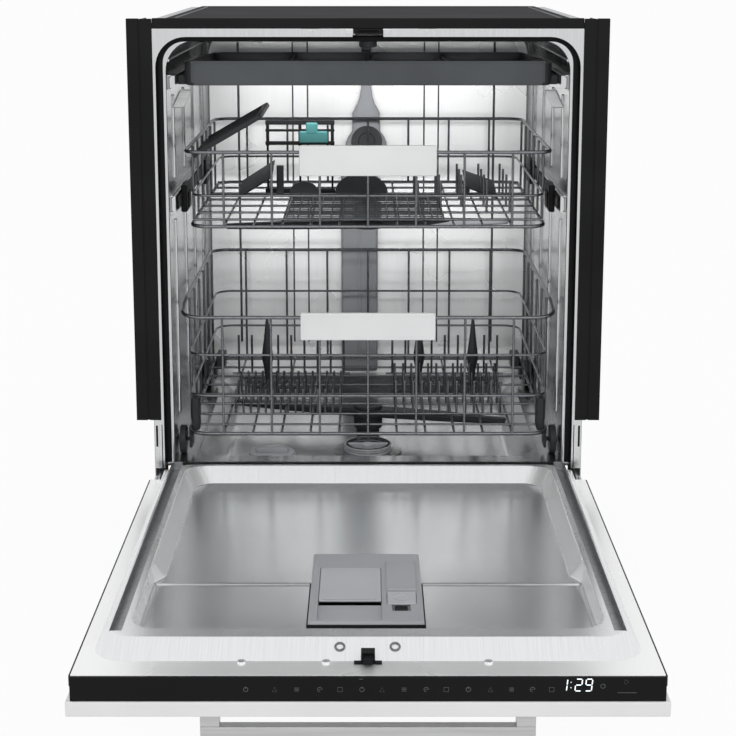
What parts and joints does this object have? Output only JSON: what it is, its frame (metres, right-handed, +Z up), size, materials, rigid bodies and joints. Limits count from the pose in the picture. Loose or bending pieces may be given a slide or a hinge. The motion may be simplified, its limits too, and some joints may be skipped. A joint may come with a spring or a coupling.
{
  "type": "fully integrated dishwasher",
  "caption": "Built-in dishwasher behind a white furniture door: steel tub, cutlery tray, two pull-out wire baskets, spray arms, drop-down door with dispenser and touch strip.",
  "frame": {"origin": "on the floor under the middle of the box round the dishwasher with its door open", "axes": "+Z up, -Y towards the user, along the open door, +X to the user's right"},
  "size_m": [0.632, 1.191, 0.818],
  "materials": {
    "stainless_steel": "satin",
    "polished_wire": "satin",
    "galvanised_steel": "matte",
    "black_plastic": "matte",
    "black_glass": "gloss",
    "grey_plastic": "satin",
    "dark_grey_plastic": "satin",
    "light_plate": "satin",
    "white_lacquer": "satin",
    "black_rubber": "matte",
    "green_board": "satin",
    "pump_metal": "satin"
  },
  "bodies": {
    "cabinet": {"base_tray": "black_plastic", "side_panels": "galvanised_steel", "top_cover": "black_plastic", "rear_frame": "galvanised_steel", "tub_wrap": "stainless_steel", "tub_back": "stainless_steel", "tub_floor": "stainless_steel", "door_gasket": "black_rubber", "sill_seal": "black_rubber", "side_trims": "black_plastic", "latch_striker": "black_plastic", "worktop_brackets": "galvanised_steel", "water_channel": "grey_plastic", "top_sprinkler": "grey_plastic", "sump": "grey_plastic", "softener": "grey_plastic", "circulation_pump": "pump_metal", "drain_pump": "black_plastic", "air_break": "grey_plastic", "hinge_brackets": "galvanised_steel", "door_springs": "galvanised_steel", "fixed_rails": "stainless_steel"},
    "door": {"door_inner_panel": "stainless_steel", "door_outer_panel": "galvanised_steel", "furniture_front": "white_lacquer", "door_handle": "stainless_steel", "control_panel": "black_glass", "control_board": "green_board", "dispenser_housing": "grey_plastic", "hinge_arms": "galvanised_steel", "latch_body": "black_plastic"},
    "detergent_lid": {"detergent_lid": "grey_plastic"},
    "rinse_aid_cap": {"rinse_aid_cap": "grey_plastic"},
    "latch_bolt": {"latch_bolt": "black_plastic"},
    "lower_basket": {"lower_basket": "polished_wire", "lower_basket_fittings": "black_plastic", "lower_basket_handle": "light_plate"},
    "folding_tines_left": {"folding_tines_left": "polished_wire"},
    "folding_tines_right": {"folding_tines_right": "polished_wire"},
    "wheel_front_left": {"wheel_front_left": "black_plastic"},
    "wheel_front_right": {"wheel_front_right": "black_plastic"},
    "wheel_rear_left": {"wheel_rear_left": "black_plastic"},
    "wheel_rear_right": {"wheel_rear_right": "black_plastic"},
    "upper_middle_rails": {"upper_middle_rails": "stainless_steel"},
    "upper_carriers": {"upper_carriers": "dark_grey_plastic"},
    "upper_basket": {"upper_basket": "polished_wire", "upper_basket_handle": "light_plate", "upper_feed": "grey_plastic"},
    "upper_spray_arm": {"upper_spray_arm": "dark_grey_plastic"},
    "cup_shelf": {"cup_shelf": "dark_grey_plastic"},
    "stem_holder": {"stem_holder": "black_plastic"},
    "tray_middle_rails": {"tray_middle_rails": "stainless_steel"},
    "cutlery_tray": {"cutlery_tray": "dark_grey_plastic"},
    "lower_spray_arm": {"lower_spray_arm": "dark_grey_plastic"},
    "filter": {"filter": "grey_plastic"},
    "salt_cap": {"salt_cap": "grey_plastic"},
    "front_left_foot": {"front_left_foot": "black_plastic"},
    "front_right_foot": {"front_right_foot": "black_plastic"},
    "rear_left_foot": {"rear_left_foot": "black_plastic"},
    "rear_right_foot": {"rear_right_foot": "black_plastic"}
  },
  "joints": [
    {"name": "door_hinge", "type": "hinge", "parent": "cabinet", "child": "door", "pos_m": [0, 0.0305, 0.19], "axis": [-1, 0, 0], "range_deg": [0, 90], "deforming": ["door_springs"]},
    {"name": "detergent_lid_slide", "type": "slide", "parent": "door", "child": "detergent_lid", "axis": [0, 1, 0], "range_m": [-0.052, 0]},
    {"name": "rinse_aid_cap_hinge", "type": "hinge", "parent": "door", "child": "rinse_aid_cap", "pos_m": [0.037, -0.389, 0.2048], "axis": [1, 0, 0], "range_deg": [-95, 0]},
    {"name": "latch_bolt_slide", "type": "slide", "parent": "door", "child": "latch_bolt", "axis": [0, 1, 0], "range_m": [0, 0.005], "stiffness_N_per_m": 300},
    {"name": "lower_basket_slide", "type": "slide", "parent": "cabinet", "child": "lower_basket", "axis": [0, 1, 0], "range_m": [-0.47, 0]},
    {"name": "folding_tines_left_hinge", "type": "hinge", "parent": "lower_basket", "child": "folding_tines_left", "pos_m": [-0.12, 0.36893, 0.25324], "axis": [1, 0, 0], "range_deg": [-90, 0]},
    {"name": "folding_tines_right_hinge", "type": "hinge", "parent": "lower_basket", "child": "folding_tines_right", "pos_m": [0.12, 0.36893, 0.25324], "axis": [1, 0, 0], "range_deg": [-90, 0]},
    {"name": "upper_middle_rails_slide", "type": "slide", "parent": "cabinet", "child": "upper_middle_rails", "axis": [0, 1, 0], "range_m": [-0.235, 0]},
    {"name": "upper_basket_slide", "type": "slide", "parent": "cabinet", "child": "upper_carriers", "axis": [0, 1, 0], "range_m": [-0.47, 0]},
    {"name": "upper_basket_height", "type": "slide", "parent": "upper_carriers", "child": "upper_basket", "axis": [0, 0, 1], "range_m": [-0.04, 0]},
    {"name": "upper_spray_arm_spin", "type": "hinge", "parent": "upper_basket", "child": "upper_spray_arm", "pos_m": [0, 0.2905, 0.505], "axis": [0, 0, 1], "continuous": true},
    {"name": "cup_shelf_hinge", "type": "hinge", "parent": "upper_basket", "child": "cup_shelf", "pos_m": [-0.23709, 0.2035, 0.629], "axis": [0, 1, 0], "range_deg": [-28, 28]},
    {"name": "stem_holder_hinge", "type": "hinge", "parent": "upper_basket", "child": "stem_holder", "pos_m": [-0.103, 0.35083, 0.54574], "axis": [1, 0, 0], "range_deg": [-85, 0]},
    {"name": "tray_middle_rails_slide", "type": "slide", "parent": "cabinet", "child": "tray_middle_rails", "axis": [0, 1, 0], "range_m": [-0.235, 0]},
    {"name": "cutlery_tray_slide", "type": "slide", "parent": "cabinet", "child": "cutlery_tray", "axis": [0, 1, 0], "range_m": [-0.47, 0]},
    {"name": "lower_spray_arm_spin", "type": "hinge", "parent": "cabinet", "child": "lower_spray_arm", "pos_m": [0, 0.2905, 0.2], "axis": [0, 0, 1], "continuous": true},
    {"name": "filter_twist", "type": "hinge", "parent": "cabinet", "child": "filter", "pos_m": [0, 0.2095, 0.185], "axis": [0, 0, 1], "range_deg": [0, 90]},
    {"name": "salt_cap_twist", "type": "hinge", "parent": "cabinet", "child": "salt_cap", "pos_m": [-0.14, 0.1755, 0.185], "axis": [0, 0, 1], "range_deg": [0, 360]},
    {"name": "wheel_front_left_spin", "type": "hinge", "parent": "lower_basket", "child": "wheel_front_left", "pos_m": [-0.26, 0.1075, 0.2282], "axis": [1, 0, 0], "range_deg": [0, 1400]},
    {"name": "wheel_front_right_spin", "type": "hinge", "parent": "lower_basket", "child": "wheel_front_right", "pos_m": [0.26, 0.1075, 0.2282], "axis": [1, 0, 0], "range_deg": [0, 1400]},
    {"name": "wheel_rear_left_spin", "type": "hinge", "parent": "lower_basket", "child": "wheel_rear_left", "pos_m": [-0.26, 0.4735, 0.2282], "axis": [1, 0, 0], "range_deg": [0, 1400]},
    {"name": "wheel_rear_right_spin", "type": "hinge", "parent": "lower_basket", "child": "wheel_rear_right", "pos_m": [0.26, 0.4735, 0.2282], "axis": [1, 0, 0], "range_deg": [0, 1400]},
    {"name": "front_left_foot_height", "type": "slide", "parent": "cabinet", "child": "front_left_foot", "axis": [0, 0, 1], "range_m": [-0.06, 0]},
    {"name": "front_right_foot_height", "type": "slide", "parent": "cabinet", "child": "front_right_foot", "axis": [0, 0, 1], "range_m": [-0.06, 0]},
    {"name": "rear_left_foot_height", "type": "slide", "parent": "cabinet", "child": "rear_left_foot", "axis": [0, 0, 1], "range_m": [-0.06, 0]},
    {"name": "rear_right_foot_height", "type": "slide", "parent": "cabinet", "child": "rear_right_foot", "axis": [0, 0, 1], "range_m": [-0.06, 0]}
  ],
  "couplings": [
    {"joint": "upper_middle_rails_slide", "follows": "upper_basket_slide", "ratio": 0.5},
    {"joint": "tray_middle_rails_slide", "follows": "cutlery_tray_slide", "ratio": 0.5},
    {"joint": "wheel_front_left_spin", "follows": "lower_basket_slide", "rad_per_m": -50},
    {"joint": "wheel_front_right_spin", "follows": "lower_basket_slide", "rad_per_m": -50},
    {"joint": "wheel_rear_left_spin", "follows": "lower_basket_slide", "rad_per_m": -50},
    {"joint": "wheel_rear_right_spin", "follows": "lower_basket_slide", "rad_per_m": -50}
  ]
}
